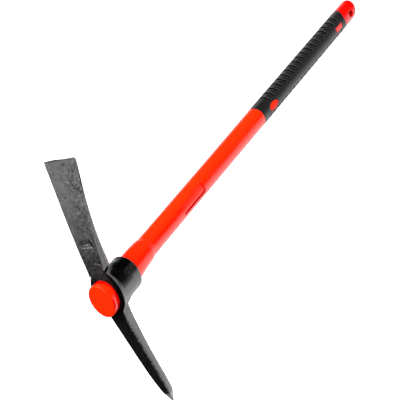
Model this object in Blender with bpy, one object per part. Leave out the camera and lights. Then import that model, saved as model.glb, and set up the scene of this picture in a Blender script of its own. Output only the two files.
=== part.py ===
"""Pickaxe with a forged steel head and a glass-fibre-cored two-material handle.

Every piece is modelled in the tool's own axes and hangs on one empty:
  local X  along the handle, from the oval plug under the eye (x = 0) to the
           hanging cap (x = 0.9019)
  local Y  along the head, the adze blade towards +Y, the pick towards -Y
  local Z  across the head, so the tool is a mirror image of itself in Z
The empty lays the tool on its side: its box stands on height zero, with the
middle of the box over the origin, and all three axes keep their directions.
Lengths in the tables are millimetres, and MM turns them into metres.
"""

import math

import bmesh
import bpy
from mathutils import Vector

MM = 0.001

# ---------------------------------------------------------------- dimensions
LENGTH = 901.9            # plug face to the tip of the hanging cap
GAP = 0.3                 # clearance between touching pieces

# head
ADZE_REACH = 196.0        # handle axis to the adze edge
PICK_REACH = 204.0        # handle axis to the pick tip
HALF_HEIGHT = 27.7        # mirror plane to the ground, at the adze's corner
EYE_FACE = 15.5           # outer face of the eye, behind the plug
COLLAR_END = 72.2         # grip-side end of the eye's collar
BOSS_Z = 23.5             # half width of the eye
BOSS_Y = 36.6
EYE_SHIFT = 2.0           # the eye's oval leans this far to the pick at its face

# handle
SHAFT_R = 16.5
SHAFT_R_END = 16.7
GRIP_R = 16.8
GRIP_START = 510.0
GRIP_BORE_R = 13.8
CORE_R = 9.5
CORE_START = 6.0
CORE_END = 862.0
JACKET_END = 841.7
PLUG_LEN = 15.2
PLUG_Z = 19.55
PLUG_Y = 26.4
BOND = 0.8                # adhesive thickness in the eye

# grip details
SLOT_FIRST = 546.5
SLOT_PITCH = 15.5
SLOT_COUNT = 19
SLOT_WIDTH = 5.4
SLOT_DEPTH = 1.3
SLOT_HALF_ANGLE = 56.0    # degrees to each side of the head's plane
OVAL_X = 547.9
OVAL_HALF = (15.1, 6.4)   # along the handle, across it
TRAP_X = (806.3, 831.2)
TRAP_HALF = 4.05

# hanging cap
CAP_R = 16.6
CAP_ARC_R = 16.7          # arc that parts the black grip from the red cap
CAP_ARC_X = 862.3
HOLE_X = 873.0
HOLE_SIZE = (12.4, 10.0)
END_MID = 896.9           # the end is cut on a slant, longer on the adze side
END_SLOPE = 0.44
END_ROUND = 6.5

# blank name panel in the shaft
PANEL_X = (231.0, 294.5)
PANEL_HALF_ANGLE = 26.0
PANEL_DEPTH = 0.5

SEG = 48                  # segments round the handle


# ---------------------------------------------------------------- small tools
def smooth_table(table, x):
    """Value at x of a table of (x, value), with a Catmull-Rom curve through it."""
    n = len(table)
    if x <= table[0][0]:
        return table[0][1]
    if x >= table[-1][0]:
        return table[-1][1]
    for i in range(n - 1):
        x0, x1 = table[i][0], table[i + 1][0]
        if x0 <= x <= x1:
            break
    y0, y1 = table[i][1], table[i + 1][1]
    xa, ya = table[i - 1] if i > 0 else (2 * x0 - x1, 2 * y0 - y1)
    xb, yb = table[i + 2] if i + 2 < n else (2 * x1 - x0, 2 * y1 - y0)
    m0 = (y1 - ya) / (x1 - xa) * (x1 - x0)
    m1 = (yb - y0) / (xb - x0) * (x1 - x0)
    t = (x - x0) / (x1 - x0)
    return ((2 * t**3 - 3 * t**2 + 1) * y0 + (t**3 - 2 * t**2 + t) * m0
            + (-2 * t**3 + 3 * t**2) * y1 + (t**3 - t**2) * m1)


def material(name, colour, roughness, metallic=0.0):
    mat = bpy.data.materials.new(name)
    mat.use_nodes = True
    shader = mat.node_tree.nodes["Principled BSDF"]
    shader.inputs["Base Color"].default_value = (*colour, 1.0)
    shader.inputs["Roughness"].default_value = roughness
    shader.inputs["Metallic"].default_value = metallic
    mat.diffuse_color = (*colour, 1.0)
    return mat


def mesh_object(name, bm, collection, mat=None):
    bmesh.ops.recalc_face_normals(bm, faces=bm.faces[:])
    if bm.calc_volume(signed=True) < 0:
        bmesh.ops.reverse_faces(bm, faces=bm.faces[:])
    mesh = bpy.data.meshes.new(name)
    bm.to_mesh(mesh)
    bm.free()
    obj = bpy.data.objects.new(name, mesh)
    collection.objects.link(obj)
    if mat is not None:
        mesh.materials.append(mat)
    mesh.shade_smooth()
    mesh.set_sharp_from_angle(angle=math.radians(32.0))
    return obj


def loft(name, rings, collection, mat=None, closed=False):
    """Skin a list of rings (lists of millimetre points, equal in number).
    Open lofts get flat caps; a closed loft joins its last ring to its first."""
    bm = bmesh.new()
    rows = [[bm.verts.new(Vector(p) * MM) for p in ring] for ring in rings]
    count = len(rows[0])
    pairs = list(zip(rows, rows[1:]))
    if closed:
        pairs.append((rows[-1], rows[0]))
    for a, b in pairs:
        for i in range(count):
            j = (i + 1) % count
            bm.faces.new((a[i], a[j], b[j], b[i]))
    if not closed:
        bm.faces.new(rows[0][::-1])
        bm.faces.new(rows[-1])
    return mesh_object(name, bm, collection, mat)


def oval(x, ry, rz, cy=0.0, seg=SEG, p=2.0):
    """Ring of an oval section across the handle at x."""
    ring = []
    for i in range(seg):
        a = 2 * math.pi * i / seg
        c, s = math.cos(a), math.sin(a)
        cc = math.copysign(abs(c) ** (2 / p), c)
        ss = math.copysign(abs(s) ** (2 / p), s)
        ring.append((x, cy + ry * cc, rz * ss))
    return ring


def boolean(target, cutter, operation):
    mod = target.modifiers.new(operation.lower() + "_" + cutter.name, "BOOLEAN")
    mod.operation = operation
    mod.solver = "EXACT"
    mod.object = cutter
    return mod


def hide_cutter(obj):
    obj.hide_render = True
    obj.display_type = "WIRE"
    return obj


def prism(name, outline, z_half, collection):
    """Closed outline in the local XY plane, extruded to both sides in Z."""
    bm = bmesh.new()
    low = [bm.verts.new(Vector((x, y, -z_half)) * MM) for x, y in outline]
    high = [bm.verts.new(Vector((x, y, z_half)) * MM) for x, y in outline]
    n = len(outline)
    bm.faces.new(low[::-1])
    bm.faces.new(high)
    for i in range(n):
        j = (i + 1) % n
        bm.faces.new((low[i], low[j], high[j], high[i]))
    return hide_cutter(mesh_object(name, bm, collection))


def sector(name, x0, x1, r0, r1, mid, half, collection, steps=10):
    """Curved block between two radii, about the handle axis. Angles in degrees,
    measured from +Y towards +Z."""
    rings = []
    for k in range(steps + 1):
        a = math.radians(mid - half + 2 * half * k / steps)
        c, s = math.cos(a), math.sin(a)
        rings.append([(x0, r0 * c, r0 * s), (x1, r0 * c, r0 * s),
                      (x1, r1 * c, r1 * s), (x0, r1 * c, r1 * s)])
    return hide_cutter(loft(name, rings, collection))


def oval_outline(cx, half_x, half_y, seg=28):
    return [(cx + half_x * math.cos(2 * math.pi * i / seg),
             half_y * math.sin(2 * math.pi * i / seg)) for i in range(seg)]


def trap_outline(grow=0.0):
    x0, x1 = TRAP_X
    return [(x0 - grow, TRAP_HALF + grow), (x1 + grow, TRAP_HALF + grow),
            (x1 - 1.4 + grow, -TRAP_HALF - grow), (x0 + 1.4 - grow, -TRAP_HALF - grow)]


def rounded_rect(cx, cy, sx, sy, r, steps=3):
    pts = []
    for qx, qy, a0 in ((1, 1, 0), (-1, 1, 90), (-1, -1, 180), (1, -1, 270)):
        for k in range(steps + 1):
            a = math.radians(a0 + 90 * k / steps)
            pts.append((cx + qx * (sx / 2 - r) + r * math.cos(a),
                        cy + qy * (sy / 2 - r) + r * math.sin(a)))
    return pts


# ---------------------------------------------------------------- head shape
# distance from the handle axis -> height of the outer face, width, thickness
ADZE_FACE = [(0, 15.5), (24, 15.9), (34, 19.0), (42, 20.4), (60, 22.3), (80, 25.2),
             (100, 28.8), (120, 33.0), (140, 37.8), (160, 43.1), (180, 48.7), (196, 53.2)]
ADZE_WIDTH = [(0, 31.5), (30, 32.2), (42, 32.9), (60, 34.2), (80, 36.0), (100, 38.3),
              (120, 41.1), (140, 44.5), (160, 48.3), (180, 52.6), (193, 55.4), (196, 54.0)]
ADZE_THICK = [(0, 13.6), (30, 13.2), (42, 12.5), (60, 11.3), (80, 9.7), (100, 7.8),
              (120, 6.2), (140, 4.9), (160, 3.8), (180, 2.6), (193, 1.9), (196, 1.2)]
PICK_FACE = [(0, 15.5), (24, 15.4), (34, 15.7), (42, 16.3), (60, 18.2), (80, 20.4),
             (100, 22.7), (120, 25.1), (140, 27.6), (160, 30.4), (180, 33.5), (188, 35.1),
             (204, 40.2)]
PICK_WIDTH = [(0, 29.0), (30, 26.4), (42, 24.9), (60, 23.2), (80, 22.0), (100, 21.1),
              (120, 20.2), (140, 18.9), (160, 16.8), (180, 12.9), (188, 10.4), (204, 2.2)]
PICK_THICK = [(0, 20.0), (30, 19.0), (42, 18.1), (60, 17.0), (80, 15.7), (100, 14.2),
              (120, 13.2), (140, 12.7), (160, 12.6), (180, 12.2), (188, 11.2), (204, 2.2)]
# eye and collar: x, half size in Y, half size in Z, shift of the oval in Y
EYE_BODY = [(EYE_FACE, 34.4, 20.7, 0.0), (16.3, 35.3, 21.5, 0.0), (18.0, 36.1, 22.5, 0.0),
            (20.5, BOSS_Y, BOSS_Z, 0.0), (24.0, 36.3, 23.6, -0.1), (28.0, 35.3, 23.6, -0.3),
            (32.0, 33.9, 23.6, -0.5), (36.0, 32.5, 23.5, -0.7), (40.0, 31.3, 23.5, -0.9),
            (45.0, 29.9, 23.5, -1.0), (51.0, 28.7, 23.5, -1.1), (58.0, 27.7, 23.5, -1.1),
            (66.0, 26.9, 23.4, -1.1), (70.2, 26.5, 23.3, -1.1), (71.4, 26.1, 22.9, -1.1),
            (COLLAR_END, 25.4, 22.3, -1.1)]
# handle's tapered oval end and shaft: x, half size in Y, half size in Z, shift in Y
SLEEVE = [(15.8, 24.7, 18.3, -1.98), (COLLAR_END, 21.5, 19.0, -1.1), (87.0, 20.7, 18.9, -0.95),
          (95.0, 20.3, 18.8, -0.68), (102.0, 19.95, 18.7, -0.36), (112.0, 19.3, 18.5, -0.25),
          (122.0, 18.7, 18.35, -0.12), (126.0, 18.5, 18.3, 0.0), (126.8, 18.25, 18.1, 0.0),
          (130.4, 17.25, 17.2, 0.0), (131.5, 17.1, 17.05, 0.0), (142.0, 16.85, 16.8, 0.0),
          (156.0, 16.6, 16.55, 0.0)]


def between(table, x):
    """Row of a table (first column x) with its other columns blended at x."""
    if x <= table[0][0]:
        return table[0][1:]
    for low, high in zip(table, table[1:]):
        if x <= high[0]:
            t = (x - low[0]) / (high[0] - low[0])
            return tuple(a + (b - a) * t for a, b in zip(low[1:], high[1:]))
    return table[-1][1:]


def eye_hole(x):
    """Half sizes in Y and Z and shift of the head's tapered eye at x."""
    sleeve_y, sleeve_z, shift = between(SLEEVE, COLLAR_END)
    grow = BOND + 2 * GAP
    face = (PLUG_Y, PLUG_Z + 0.05, -EYE_SHIFT)
    end = (sleeve_y + grow, sleeve_z + grow, shift)
    t = min(max((x - EYE_FACE) / (COLLAR_END - EYE_FACE), 0.0), 1.0)
    return tuple(a + (b - a) * t for a, b in zip(face, end))


def blade_rings(stations, side, face, width, thick, chamfer):
    """Eight-cornered sections of a blade, square to the head's long axis."""
    rings = []
    for u in stations:
        f = smooth_table(face, u)
        w = smooth_table(width, u) / 2
        t = smooth_table(thick, u)
        c = min(chamfer, 0.3 * t, 0.3 * w)
        y = side * u
        rings.append([(f, y, -w + c), (f, y, w - c), (f + c, y, w), (f + t - c, y, w),
                      (f + t, y, w - c), (f + t, y, -w + c), (f + t - c, y, -w), (f + c, y, -w)])
    return rings


def build():
    for obj in list(bpy.data.objects):
        bpy.data.objects.remove(obj, do_unlink=True)

    scene = bpy.context.scene
    parts = bpy.data.collections.new("pickaxe")
    cutters = bpy.data.collections.new("cutters")
    scene.collection.children.link(parts)
    scene.collection.children.link(cutters)

    steel = material("black_forged_steel", (0.016, 0.016, 0.017), 0.38, 0.0)
    red = material("red_polypropylene", (0.94, 0.035, 0.004), 0.30)
    cap_red = material("deep_red_polypropylene", (0.90, 0.008, 0.003), 0.32)
    black = material("black_rubber", (0.022, 0.023, 0.024), 0.62)
    fibre = material("glass_fibre_core", (0.62, 0.55, 0.38), 0.45)
    epoxy = material("grey_epoxy", (0.05, 0.05, 0.05), 0.5)

    # ------------------------------------------------------------ head
    adze_u = [10, 24, 29, 34, 42, 60, 80, 100, 120, 140, 160, 180, 193, ADZE_REACH]
    pick_u = [10, 24, 30, 36, 42, 60, 80, 100, 120, 140, 160, 180, 188, PICK_REACH]
    head = loft("pick_head", [oval(x, ry, rz, cy=cy) for x, ry, rz, cy in EYE_BODY], parts, steel)
    adze = hide_cutter(loft("adze_blade", blade_rings(adze_u, 1, ADZE_FACE, ADZE_WIDTH, ADZE_THICK, 1.2),
                            cutters))
    pick = hide_cutter(loft("pick_point", blade_rings(pick_u, -1, PICK_FACE, PICK_WIDTH, PICK_THICK, 1.4),
                            cutters))
    eye = hide_cutter(loft("eye_hole", [oval(x, ry, rz, cy=cy) for x, (ry, rz, cy) in
                                        ((x, eye_hole(x)) for x in (0.0, EYE_FACE, COLLAR_END, 90.0))],
                           cutters))
    boolean(head, adze, "UNION")
    boolean(head, pick, "UNION")
    boolean(head, eye, "DIFFERENCE")

    # ------------------------------------------------------------ adhesive in the eye
    outer, inner = [], []
    for x in (EYE_FACE + 1.0, COLLAR_END - 1.0):
        ry, rz, cy = eye_hole(x)
        outer.append(oval(x, ry - GAP, rz - GAP, cy=cy))
        inner.append(oval(x, ry - GAP - BOND, rz - GAP - BOND, cy=cy))
    loft("eye_bond", [outer[0], outer[1], inner[1], inner[0]], parts, epoxy, closed=True)

    # ------------------------------------------------------------ oval plug
    plug_rings = []
    for x, inset in ((0.0, 2.3), (0.25, 1.4), (0.8, 0.62), (1.6, 0.12), (2.4, 0.0), (PLUG_LEN, 0.0)):
        plug_rings.append(oval(x, PLUG_Y - inset, PLUG_Z - inset, cy=-EYE_SHIFT))
    plug = loft("end_plug", plug_rings, parts, red)
    socket = hide_cutter(loft("core_socket", [oval(CORE_START - GAP, CORE_R + GAP, CORE_R + GAP, seg=32),
                                              oval(40.0, CORE_R + GAP, CORE_R + GAP, seg=32)], cutters))
    boolean(plug, socket, "DIFFERENCE")

    # ------------------------------------------------------------ core rod
    loft("core_rod", [oval(CORE_START, CORE_R, CORE_R, seg=32), oval(CORE_END, CORE_R, CORE_R, seg=32)],
         parts, fibre)

    # ------------------------------------------------------------ red jacket
    rings = [oval(x, ry, rz, cy=cy) for x, ry, rz, cy in SLEEVE]
    rings.append(oval(320.0, SHAFT_R, SHAFT_R))
    rings.append(oval(GRIP_START - GAP, SHAFT_R_END, SHAFT_R_END))
    neck = GRIP_BORE_R - GAP
    rings.append(oval(GRIP_START - GAP, neck, neck))
    rings.append(oval(JACKET_END, neck, neck))
    jacket = loft("shaft_jacket", rings, parts, red)
    shell = hide_cutter(loft("window_shell", [oval(500.0, GRIP_R - 0.1, GRIP_R - 0.1, seg=64),
                                              oval(840.0, GRIP_R - 0.1, GRIP_R - 0.1, seg=64)], cutters))
    for tag, outline in (("oval", oval_outline(OVAL_X, *OVAL_HALF)), ("bar", trap_outline())):
        boss = prism("window_" + tag, outline, 25.0, cutters)
        boolean(boss, shell, "INTERSECT")
        boolean(jacket, boss, "UNION")
    for side in (1, -1):
        panel = sector("panel_%s" % ("top" if side > 0 else "bottom"), PANEL_X[0], PANEL_X[1],
                       SHAFT_R - PANEL_DEPTH, 22.0, 90.0 * side, PANEL_HALF_ANGLE, cutters, steps=8)
        boolean(jacket, panel, "DIFFERENCE")
    bore = hide_cutter(loft("jacket_bore", [oval(5.0, CORE_R + GAP, CORE_R + GAP, seg=32),
                                            oval(850.0, CORE_R + GAP, CORE_R + GAP, seg=32)], cutters))
    boolean(jacket, bore, "DIFFERENCE")

    # ------------------------------------------------------------ rubber grip
    grip_rings_out = [oval(GRIP_START, GRIP_R - 0.1, GRIP_R - 0.1), oval(GRIP_START + 1.0, GRIP_R, GRIP_R),
                      oval(870.0, GRIP_R, GRIP_R)]
    grip_rings_in = [oval(870.0, GRIP_BORE_R, GRIP_BORE_R), oval(GRIP_START, GRIP_BORE_R, GRIP_BORE_R)]
    grip = loft("grip_sleeve", grip_rings_out + grip_rings_in, parts, black, closed=True)
    arc = prism("cap_arc_grip", arc_outline(CAP_ARC_R + GAP, CAP_ARC_X - 0.0, 960.0, 30.0), 30.0, cutters)
    boolean(grip, arc, "DIFFERENCE")
    for tag, outline in (("oval", oval_outline(OVAL_X, OVAL_HALF[0] + GAP, OVAL_HALF[1] + GAP)),
                         ("bar", trap_outline(GAP))):
        boolean(grip, prism("grip_window_" + tag, outline, 25.0, cutters), "DIFFERENCE")
    slots = slot_cutter("grip_slots", cutters)
    boolean(grip, slots, "DIFFERENCE")

    # ------------------------------------------------------------ hanging cap
    cap_rings = [oval(JACKET_END + GAP, CAP_R, CAP_R)]
    for k in range(5):
        a = math.radians(90.0 * k / 4)
        inset = END_ROUND * (1 - math.cos(a))
        drop = END_ROUND * (1 - math.sin(a))
        ring = []
        for i in range(SEG):
            b = 2 * math.pi * i / SEG
            y, z = (CAP_R - inset) * math.cos(b), (CAP_R - inset) * math.sin(b)
            ring.append((END_MID - drop + END_SLOPE * y, y, z))
        cap_rings.append(ring)
    cap = loft("hang_cap", cap_rings, parts, cap_red)
    arc_cap = prism("cap_arc", arc_outline(CAP_ARC_R, CAP_ARC_X, 960.0, 30.0), 30.0, cutters)
    boolean(cap, arc_cap, "INTERSECT")
    neck_obj = hide_cutter(loft("cap_neck", [oval(JACKET_END + GAP, neck, neck), oval(868.0, neck, neck)],
                                cutters))
    boolean(cap, neck_obj, "UNION")
    cap_socket = hide_cutter(loft("cap_socket", [oval(830.0, CORE_R + GAP, CORE_R + GAP, seg=32),
                                                 oval(CORE_END + GAP, CORE_R + GAP, CORE_R + GAP, seg=32)],
                                  cutters))
    boolean(cap, cap_socket, "DIFFERENCE")
    hole = prism("hang_hole", rounded_rect(HOLE_X, 0.0, HOLE_SIZE[0], HOLE_SIZE[1], 2.2), 30.0, cutters)
    boolean(cap, hole, "DIFFERENCE")

    # ------------------------------------------------------------ lay it on the ground
    frame = bpy.data.objects.new("tool_frame", None)
    parts.objects.link(frame)
    frame.location = Vector((-LENGTH / 2, (PICK_REACH - ADZE_REACH) / 2, HALF_HEIGHT)) * MM
    for obj in list(parts.objects) + list(cutters.objects):
        if obj is not frame:
            obj.parent = frame


def arc_outline(r, cx, x_end, y_half, steps=16):
    """Everything past an arc that opens towards the cap: a half disc joined to
    a wide block."""
    pts = [(cx, -y_half), (cx, -r)]
    for k in range(1, steps):
        a = math.pi * k / steps
        pts.append((cx - r * math.sin(a), -r * math.cos(a)))
    pts += [(cx, r), (cx, y_half), (x_end, y_half), (x_end, -y_half)]
    return pts


def slot_cutter(name, collection):
    """All finger slots of the grip in one body of separate blocks."""
    bm = bmesh.new()
    steps = 8
    r0, r1 = GRIP_R - SLOT_DEPTH, GRIP_R + 3.0
    for k in range(SLOT_COUNT):
        x0 = SLOT_FIRST + SLOT_PITCH * k - SLOT_WIDTH / 2
        x1 = x0 + SLOT_WIDTH
        for mid in (0.0, 180.0):
            rows = []
            for j in range(steps + 1):
                a = math.radians(mid - SLOT_HALF_ANGLE + 2 * SLOT_HALF_ANGLE * j / steps)
                c, s = math.cos(a), math.sin(a)
                rows.append([bm.verts.new(Vector(p) * MM) for p in (
                    (x0, r0 * c, r0 * s), (x1, r0 * c, r0 * s), (x1, r1 * c, r1 * s), (x0, r1 * c, r1 * s))])
            for a, b in zip(rows, rows[1:]):
                for i in range(4):
                    bm.faces.new((a[i], a[(i + 1) % 4], b[(i + 1) % 4], b[i]))
            bm.faces.new(rows[0][::-1])
            bm.faces.new(rows[-1])
    return hide_cutter(mesh_object(name, bm, collection))


build()
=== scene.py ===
"""Looks of the pickaxe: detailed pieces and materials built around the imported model.

Shapes are worked out in the tool's own axes, in millimetres: x along the handle
from the plug, y along the head (adze +, pick -), z across the head. `place`
turns them into the row frame, in metres.
"""
import math

import bpy
import numpy as np
from mathutils import Matrix, Vector


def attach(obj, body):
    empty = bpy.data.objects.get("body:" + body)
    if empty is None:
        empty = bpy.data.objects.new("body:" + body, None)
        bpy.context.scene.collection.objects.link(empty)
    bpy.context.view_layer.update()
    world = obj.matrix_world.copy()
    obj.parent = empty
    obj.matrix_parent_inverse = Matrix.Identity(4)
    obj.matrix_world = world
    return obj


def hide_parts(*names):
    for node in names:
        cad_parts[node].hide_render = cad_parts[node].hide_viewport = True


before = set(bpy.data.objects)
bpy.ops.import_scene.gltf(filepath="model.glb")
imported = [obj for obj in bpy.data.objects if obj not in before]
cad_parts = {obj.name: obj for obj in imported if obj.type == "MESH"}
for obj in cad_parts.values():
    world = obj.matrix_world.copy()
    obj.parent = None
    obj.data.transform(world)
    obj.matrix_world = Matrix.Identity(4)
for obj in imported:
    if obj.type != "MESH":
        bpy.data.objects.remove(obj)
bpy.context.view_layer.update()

MM = 0.001
ORIGIN = np.array((-450.95, 4.0, 27.7))


def place(points):
    return (np.asarray(points, float) + ORIGIN) * MM


# ------------------------------------------------------------------ camera
cam = bpy.data.cameras.new("camera")
cam.lens = 152.26461
cam.sensor_width = 36.0
cam.sensor_fit = "HORIZONTAL"
cam.clip_start, cam.clip_end = 0.05, 60.0
cam_obj = bpy.data.objects.new("camera", cam)
cam_obj.matrix_world = Matrix((
    (0.44461218, 0.53136145, -0.72109293, -2.00111526),
    (-0.39282389, 0.83916314, 0.37615770, 0.94675540),
    (0.80499031, 0.11601823, 0.58183363, 1.51424959),
    (0.0, 0.0, 0.0, 1.0)))
bpy.context.scene.collection.objects.link(cam_obj)
bpy.context.scene.camera = cam_obj


# ------------------------------------------------------------------ number tools
def smooth_table(table, x):
    n = len(table)
    if x <= table[0][0]:
        return table[0][1]
    if x >= table[-1][0]:
        return table[-1][1]
    for i in range(n - 1):
        x0, x1 = table[i][0], table[i + 1][0]
        if x0 <= x <= x1:
            break
    y0, y1 = table[i][1], table[i + 1][1]
    xa, ya = table[i - 1] if i > 0 else (2 * x0 - x1, 2 * y0 - y1)
    xb, yb = table[i + 2] if i + 2 < n else (2 * x1 - x0, 2 * y1 - y0)
    m0 = (y1 - ya) / (x1 - xa) * (x1 - x0)
    m1 = (yb - y0) / (xb - x0) * (x1 - x0)
    t = (x - x0) / (x1 - x0)
    return ((2 * t**3 - 3 * t**2 + 1) * y0 + (t**3 - 2 * t**2 + t) * m0
            + (-2 * t**3 + 3 * t**2) * y1 + (t**3 - t**2) * m1)


def curve_of(table, count=900):
    """A table as a function of an array, along the smooth curve through it."""
    xs = np.linspace(table[0][0], table[-1][0], count)
    ys = np.array([smooth_table(table, x) for x in xs])
    return lambda v: np.interp(v, xs, ys)


def step(v, a, b):
    t = np.clip((v - a) / (b - a), 0, 1)
    return t * t * (3 - 2 * t)


def blend_min(a, b, k):
    """Union of two solids with a fillet about k wide."""
    h = np.clip(0.5 + 0.5 * (b - a) / k, 0, 1)
    return b + (a - b) * h - k * h * (1 - h)


def round_max(a, b, r):
    """Intersection of two solids with the edge rounded to radius r."""
    return (np.minimum(np.maximum(a, b), -r)
            + np.hypot(np.maximum(a + r, 0), np.maximum(b + r, 0)))


def waves(x, y, z, size, seed):
    """Slow unevenness of a forged or moulded surface, about -1 to 1."""
    rng = np.random.RandomState(seed)
    total = 0.0
    for _ in range(7):
        d = rng.normal(size=3)
        d /= np.linalg.norm(d)
        f = 2 * math.pi / (size * (0.6 + 0.9 * rng.rand()))
        total = total + np.sin(f * (d[0] * x + d[1] * y + d[2] * z) + 6.28 * rng.rand())
    return total / 3.2


def skin(field, axes, where=None, rounds=4):
    """Vertices and quads of the surface field(x, y, z) = 0 over a grid.
    `where` turns grid coordinates into x, y, z; by default they are the same."""
    where = where or (lambda a, b, c: (a, b, c))
    grid = np.meshgrid(*axes, indexing="ij")
    px, py, pz = where(*grid)
    d = field(px, py, pz)
    inside = d < 0
    nx, ny, nz = (len(a) - 1 for a in axes)
    corner = [(i, j, k) for i in (0, 1) for j in (0, 1) for k in (0, 1)]

    def at(a, c):
        return a[c[0]:c[0] + nx, c[1]:c[1] + ny, c[2]:c[2] + nz]

    count = sum(at(inside, c).astype(np.int8) for c in corner)
    mixed = (count > 0) & (count < 8)
    index = np.full(mixed.shape, -1, np.int64)
    total = int(mixed.sum())
    index[mixed] = np.arange(total)
    pos = np.zeros((total, 3))
    hits = np.zeros(total)
    for i, c0 in enumerate(corner):
        for c1 in corner[i + 1:]:
            if sum(abs(p - q) for p, q in zip(c0, c1)) != 1:
                continue
            d0, d1 = at(d, c0)[mixed], at(d, c1)[mixed]
            cross = (d0 < 0) != (d1 < 0)
            t = np.where(cross, d0 / np.where(cross, d0 - d1, 1), 0)
            for axis, p in enumerate((px, py, pz)):
                a, b = at(p, c0)[mixed], at(p, c1)[mixed]
                pos[:, axis] += np.where(cross, a + (b - a) * t, 0)
            hits += cross
    pos /= hits[:, None]
    h = 0.04
    for _ in range(rounds):
        x, y, z = pos.T
        f = field(x, y, z)
        g = np.stack([field(x + h, y, z) - field(x - h, y, z),
                      field(x, y + h, z) - field(x, y - h, z),
                      field(x, y, z + h) - field(x, y, z - h)], 1) / (2 * h)
        size = np.maximum((g * g).sum(1), 0.2)
        move = -(f / size)[:, None] * g
        length = np.linalg.norm(move, axis=1)
        move *= np.minimum(1, 0.4 / np.maximum(length, 1e-9))[:, None]
        pos += move
    quads = []
    sx, sy, sz = slice(1, nx), slice(1, ny), slice(1, nz)
    for axis in range(3):
        if axis == 0:
            a, b = inside[:-1, 1:-1, 1:-1], inside[1:, 1:-1, 1:-1]
            cells = [(slice(0, nx), slice(p, p + ny - 1), slice(q, q + nz - 1))
                     for p, q in ((0, 0), (1, 0), (1, 1), (0, 1))]
        elif axis == 1:
            a, b = inside[1:-1, :-1, 1:-1], inside[1:-1, 1:, 1:-1]
            cells = [(slice(q, q + nx - 1), slice(0, ny), slice(p, p + nz - 1))
                     for p, q in ((0, 0), (1, 0), (1, 1), (0, 1))]
        else:
            a, b = inside[1:-1, 1:-1, :-1], inside[1:-1, 1:-1, 1:]
            cells = [(slice(p, p + nx - 1), slice(q, q + ny - 1), slice(0, nz))
                     for p, q in ((0, 0), (1, 0), (1, 1), (0, 1))]
        for way in (True, False):
            here = (a == way) & (b == (not way))
            quad = np.stack([index[c][here] for c in cells], 1)
            quads.append(quad if way else quad[:, ::-1])
    return pos, np.concatenate(quads)


def make_object(name, points, faces, mat, smooth_angle=40.0, weld=None):
    mesh = bpy.data.meshes.new(name)
    mesh.from_pydata(place(points).tolist(), [], [list(map(int, f)) for f in faces])
    mesh.update()
    obj = bpy.data.objects.new(name, mesh)
    bpy.context.scene.collection.objects.link(obj)
    import bmesh
    bm = bmesh.new()
    bm.from_mesh(mesh)
    if weld:
        bmesh.ops.remove_doubles(bm, verts=bm.verts[:], dist=weld * MM)
    loose = [v for v in bm.verts if not v.link_faces]
    if loose:
        bmesh.ops.delete(bm, geom=loose, context="VERTS")
    bmesh.ops.recalc_face_normals(bm, faces=bm.faces[:])
    bm.to_mesh(mesh)
    bm.free()
    mesh.shade_smooth()
    if smooth_angle is not None:
        mesh.set_sharp_from_angle(angle=math.radians(smooth_angle))
    if mat is not None:
        mesh.materials.append(mat)
    return obj


def local_points(obj):
    co = np.zeros(len(obj.data.vertices) * 3, np.float32)
    obj.data.vertices.foreach_get("co", co)
    return co.reshape(-1, 3).astype(float) / MM - ORIGIN


def local_normals(obj):
    no = np.zeros(len(obj.data.vertices) * 3, np.float32)
    obj.data.vertices.foreach_get("normal", no)
    return no.reshape(-1, 3).astype(float)


def paint(obj, name, values):
    attribute = obj.data.attributes.new(name, "FLOAT", "POINT")
    attribute.data.foreach_set("value", np.ascontiguousarray(values, np.float32))


def rings_mesh(rings, close_start=True, close_end=True):
    """Quads between rings of equal size, with a fan-free flat cap at each end."""
    rings = [np.asarray(r, float) for r in rings]
    n = len(rings[0])
    pts = np.concatenate(rings)
    faces = []
    for r in range(len(rings) - 1):
        a, b = r * n, (r + 1) * n
        for i in range(n):
            j = (i + 1) % n
            faces.append((a + i, a + j, b + j, b + i))
    if close_start:
        faces.append(tuple(range(n))[::-1])
    if close_end:
        faces.append(tuple(range(len(pts) - n, len(pts))))
    return pts, faces


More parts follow.
